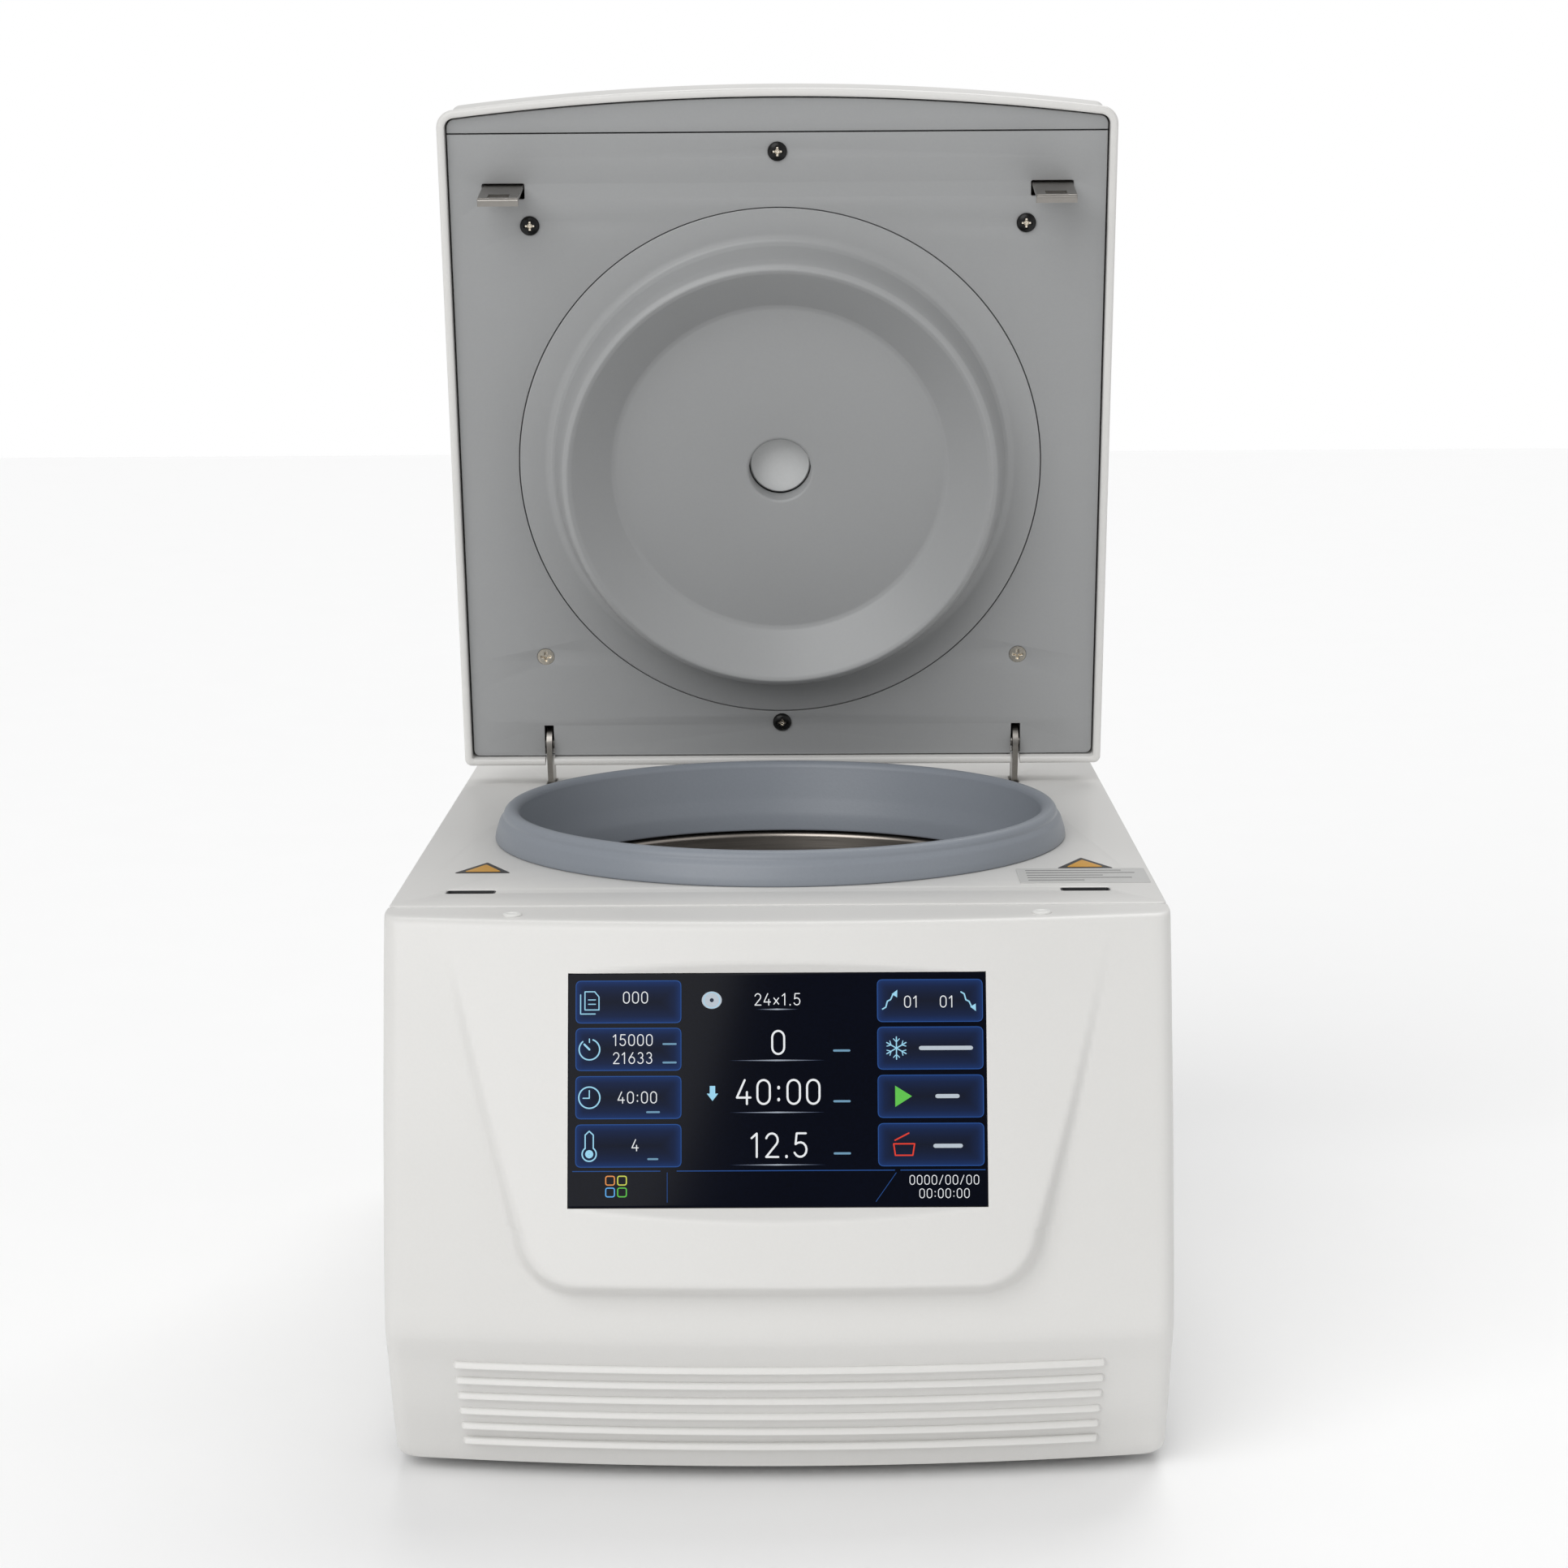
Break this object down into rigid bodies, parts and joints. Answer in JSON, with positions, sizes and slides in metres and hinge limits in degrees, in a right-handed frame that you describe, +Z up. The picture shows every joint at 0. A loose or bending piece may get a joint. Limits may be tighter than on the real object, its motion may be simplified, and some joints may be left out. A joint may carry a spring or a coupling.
{
  "type": "laboratory centrifuge",
  "caption": "Refrigerated bench-top centrifuge: bowed white cabinet with a tilted touch display, round gasketed chamber and an open hinged lid with latch hooks.",
  "frame": {"origin": "centre of the bounding box's bottom face, on the bench, with the lid open", "axes": "+Z up; the display faces -Y; +X to the right seen from the front; the hinge line is along X"},
  "size_m": [0.295, 0.4794, 0.5371],
  "materials": {
    "white_plastic": "satin",
    "white_paint": "satin",
    "pad_white": "gloss",
    "grey_plastic": "satin",
    "blue_rubber": "satin",
    "black_rubber": "matte",
    "black_plastic": "matte",
    "rocker_red": "gloss",
    "bowl_steel": "satin",
    "zinc_steel": "satin",
    "bracket_steel": "polished",
    "bearing_steel": "polished",
    "screw_steel": "satin",
    "screw_black": "gloss",
    "screw_nickel": "polished",
    "cast_alloy": "matte",
    "fin_aluminium": "satin",
    "anodised": "satin",
    "lamination": "matte",
    "copper_tube": "satin",
    "black_paint": "gloss",
    "foam": "matte",
    "board_green": "satin",
    "screen_glass": "gloss",
    "sight_clear": "satin",
    "label_yellow": "satin",
    "label_grey": "satin"
  },
  "bodies": {
    "cabinet": {"base_plate": "zinc_steel", "rubber_feet": "black_rubber", "foot_screws": "screw_steel", "front_cover": "white_plastic", "top_cover": "white_paint", "left_side_panel": "white_paint", "right_side_panel": "white_paint", "rear_panel": "white_paint", "panel_screws": "screw_steel", "pad_buttons": "pad_white", "warning_triangles": "label_yellow", "grey_label": "label_grey", "bowl_gasket": "blue_rubber", "bowl_wall": "bowl_steel", "bowl_floor": "bowl_steel", "bowl_insulation": "foam", "evaporator_coil": "copper_tube", "guard_ring": "zinc_steel", "temperature_probe": "bowl_steel", "shaft_seal": "black_rubber", "motor_body": "cast_alloy", "motor_cap": "cast_alloy", "motor_stator": "lamination", "shaft_bearings": "bearing_steel", "motor_plate": "zinc_steel", "motor_dampers": "black_rubber", "compressor": "black_paint", "compressor_mounts": "black_rubber", "condenser": "fin_aluminium", "fan_frame": "black_plastic", "filter_drier": "copper_tube", "refrigerant_pipes": "copper_tube", "lock_guides": "zinc_steel", "lock_motor": "black_plastic", "hinge_brackets": "bracket_steel", "power_inlet": "black_plastic", "switch_frame": "black_plastic", "control_board": "board_green", "power_supply": "zinc_steel", "motor_drive": "fin_aluminium", "display_module": "black_plastic", "touch_glass": "screen_glass"},
    "rotor": {"drive_shaft": "bearing_steel", "motor_core": "lamination", "drive_hub": "bearing_steel", "rotor_body": "anodised", "rotor_cover": "anodised"},
    "rotor_knob": {"rotor_knob": "black_plastic"},
    "fan": {"fan_blades": "black_plastic"},
    "rocker": {"power_rocker": "rocker_red"},
    "lock": {"lock_bar": "bracket_steel"},
    "lid": {"lid_shell": "white_plastic", "lid_liner": "grey_plastic", "lid_insert": "grey_plastic", "lid_armour": "zinc_steel", "lid_hooks": "bracket_steel", "lid_screws_black": "screw_black", "lid_screws_nickel": "screw_nickel", "sight_glass": "sight_clear", "hinge_blocks": "cast_alloy"}
  },
  "joints": [
    {"name": "lid_hinge", "type": "hinge", "parent": "cabinet", "child": "lid", "pos_m": [0, 0.1157, 0.2362], "axis": [1, 0, 0], "range_deg": [0, 77.8], "stiffness_Nm_per_rad": 3.6, "springref_deg": -17.19},
    {"name": "rotor_spin", "type": "hinge", "parent": "cabinet", "child": "rotor", "pos_m": [0, -0.0179, 0.13], "axis": [0, 0, 1], "continuous": true},
    {"name": "knob_turn", "type": "hinge", "parent": "rotor", "child": "rotor_knob", "pos_m": [0, -0.0179, 0.17], "axis": [0, 0, 1], "range_deg": [0, 90]},
    {"name": "fan_spin", "type": "hinge", "parent": "cabinet", "child": "fan", "pos_m": [0.065, 0.1866, 0.085], "axis": [0, 1, 0], "continuous": true},
    {"name": "power_switch", "type": "hinge", "parent": "cabinet", "child": "rocker", "pos_m": [-0.0625, 0.2316, 0.174], "axis": [1, 0, 0], "range_deg": [0, 14]},
    {"name": "lock_slide", "type": "slide", "parent": "cabinet", "child": "lock", "axis": [0, 1, 0], "range_m": [0, 0.008]}
  ]
}
